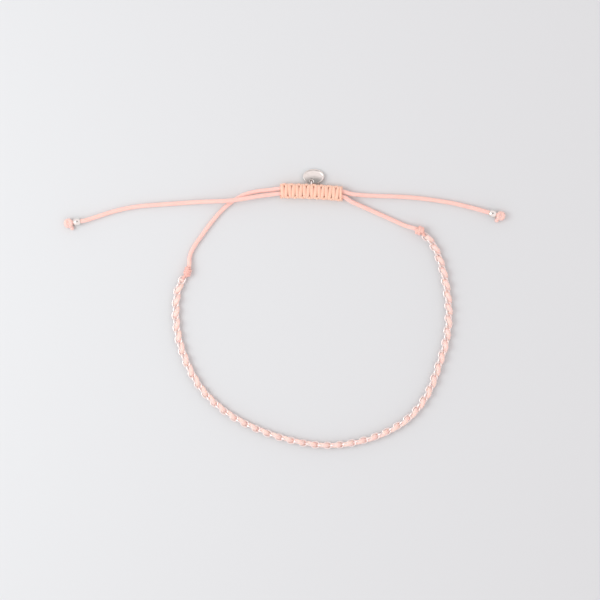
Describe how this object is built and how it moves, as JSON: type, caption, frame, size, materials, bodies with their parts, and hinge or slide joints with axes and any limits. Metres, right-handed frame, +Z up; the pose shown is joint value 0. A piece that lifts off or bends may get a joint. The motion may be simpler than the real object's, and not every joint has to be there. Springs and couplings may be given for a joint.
{
  "type": "adjustable cord and chain anklet",
  "caption": "Adjustable anklet: fine cable chain joined to two waxed cords through a sliding knot, with an oval tag and a bead and knot on each tail.",
  "frame": {"origin": "on the surface that the anklet lies on, under the middle of the box round the loop, the sliding knot and the tag; the free tails are left out of that box", "axes": "+Z up from the surface; +Y across the loop towards the sliding knot and the tag; +X along the sliding knot, towards the shorter tail"},
  "size_m": [0.1317, 0.084, 0.0029],
  "materials": {
    "silver": "polished silver",
    "waxed_cord": "waxed, pale coral pink",
    "knotted_cord": "waxed, peach"
  },
  "bodies": {
    "root": {"chain_right": "silver", "chain_left": "silver", "end_knot_right": "knotted_cord", "end_knot_left": "knotted_cord", "sliding_knot": "knotted_cord", "tag": "silver", "jump_ring": "silver", "cord_right_tail": "waxed_cord", "cord_left_tail": "waxed_cord", "tail_bead_right": "silver", "tail_bead_left": "silver", "tail_knot_right": "waxed_cord", "tail_knot_left": "waxed_cord"}
  },
  "joints": []
}
